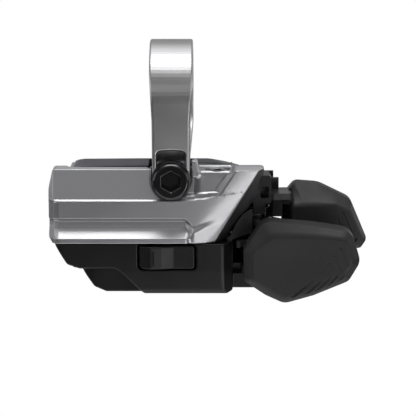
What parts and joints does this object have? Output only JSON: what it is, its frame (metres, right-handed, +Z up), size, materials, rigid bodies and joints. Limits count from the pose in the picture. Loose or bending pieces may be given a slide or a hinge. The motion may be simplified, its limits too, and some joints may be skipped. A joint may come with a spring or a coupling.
{
  "type": "bicycle shifter",
  "caption": "Wireless handlebar shift switch: band clamp, silver upper housing, black lower housing with a rocking button, and rubber thumb paddles on one axle.",
  "frame": {"origin": "centre of the handlebar clamp bore, in the middle of the band's width", "axes": "+X along the handlebar towards the grip and the thumb paddles, +Y away from the rider, +Z up"},
  "size_m": [0.0752, 0.0305, 0.0603],
  "materials": {
    "polished_alloy": "polished",
    "satin_alloy": "satin",
    "cover_nylon": "matte",
    "black_nylon": "fine satin",
    "side_nylon": "satin",
    "lever_black": "satin",
    "black_oxide": "black oxide",
    "arm_black": "satin black",
    "paddle_rubber": "fine grain",
    "paddle_core": "matte",
    "seal_rubber": "matte",
    "zinc_steel": "bright",
    "spring_steel": "bright",
    "bush_bronze": "plain",
    "cell_steel": "bright",
    "contact_gold": "bright",
    "board_green": "solder mask",
    "shield_tin": "plain",
    "switch_black": "matte",
    "plunger_white": "matte"
  },
  "bodies": {
    "root": {"clamp_band": "polished_alloy", "clamp_bolt": "black_oxide", "clamp_washer": "zinc_steel", "clamp_nut": "zinc_steel", "top_housing": "satin_alloy", "antenna_cover": "cover_nylon", "boss_screw": "black_oxide", "lower_housing": "black_nylon", "housing_gasket": "seal_rubber", "housing_screws": "zinc_steel", "side_cover": "side_nylon", "lever_bracket": "lever_black", "battery_cover": "black_nylon", "battery_seal": "seal_rubber", "battery_cover_screw": "black_oxide", "coin_cell": "cell_steel", "battery_contact_plus": "contact_gold", "battery_contact_minus": "contact_gold", "main_board": "board_green", "radio_module": "shield_tin", "switch_board": "board_green", "lower_switch": "switch_black", "upper_switch": "switch_black", "function_switch": "switch_black", "button_pin": "zinc_steel", "pivot_axle": "zinc_steel", "axle_clip": "spring_steel", "axle_washers": "zinc_steel"},
    "lower_lever": {"lower_arm": "arm_black", "lower_bush": "bush_bronze", "lower_paddle_core": "paddle_core", "lower_paddle": "paddle_rubber", "lower_paddle_screw": "zinc_steel", "lower_spring": "spring_steel"},
    "upper_lever": {"upper_arm": "arm_black", "upper_bush": "bush_bronze", "upper_paddle_core": "paddle_core", "upper_paddle": "paddle_rubber", "upper_paddle_screw": "zinc_steel", "upper_spring": "spring_steel"},
    "button": {"function_button": "black_nylon"},
    "lower_key": {"lower_plunger": "plunger_white"},
    "upper_key": {"upper_plunger": "plunger_white"},
    "function_key": {"function_plunger": "plunger_white"}
  },
  "joints": [
    {"name": "lower_paddle_press", "type": "hinge", "parent": "root", "child": "lower_lever", "pos_m": [0.019, 0.003, -0.034], "axis": [0, 0, 1], "range_deg": [0, 6], "stiffness_Nm_per_rad": 0.3, "springref_deg": -5.73},
    {"name": "upper_paddle_press", "type": "hinge", "parent": "root", "child": "upper_lever", "pos_m": [0.019, 0.003, -0.024], "axis": [0, 0, 1], "range_deg": [0, 6], "stiffness_Nm_per_rad": 0.3, "springref_deg": -5.73},
    {"name": "function_button_press", "type": "hinge", "parent": "root", "child": "button", "pos_m": [0.004, -0.0076, -0.03645], "axis": [0, 0, 1], "range_deg": [-4, 0], "stiffness_Nm_per_rad": 0.1, "springref_deg": 5.73},
    {"name": "lower_key_slide", "type": "slide", "parent": "root", "child": "lower_key", "axis": [0, -1, 0], "range_m": [0, 0.0009]},
    {"name": "upper_key_slide", "type": "slide", "parent": "root", "child": "upper_key", "axis": [0, -1, 0], "range_m": [0, 0.0009]},
    {"name": "function_key_slide", "type": "slide", "parent": "root", "child": "function_key", "axis": [0, 1, 0], "range_m": [0, 0.0006]}
  ],
  "couplings": [
    {"joint": "lower_key_slide", "follows": "lower_paddle_press", "m_per_rad": 0.0085},
    {"joint": "upper_key_slide", "follows": "upper_paddle_press", "m_per_rad": 0.0085},
    {"joint": "function_key_slide", "follows": "function_button_press", "m_per_rad": -0.0082}
  ]
}
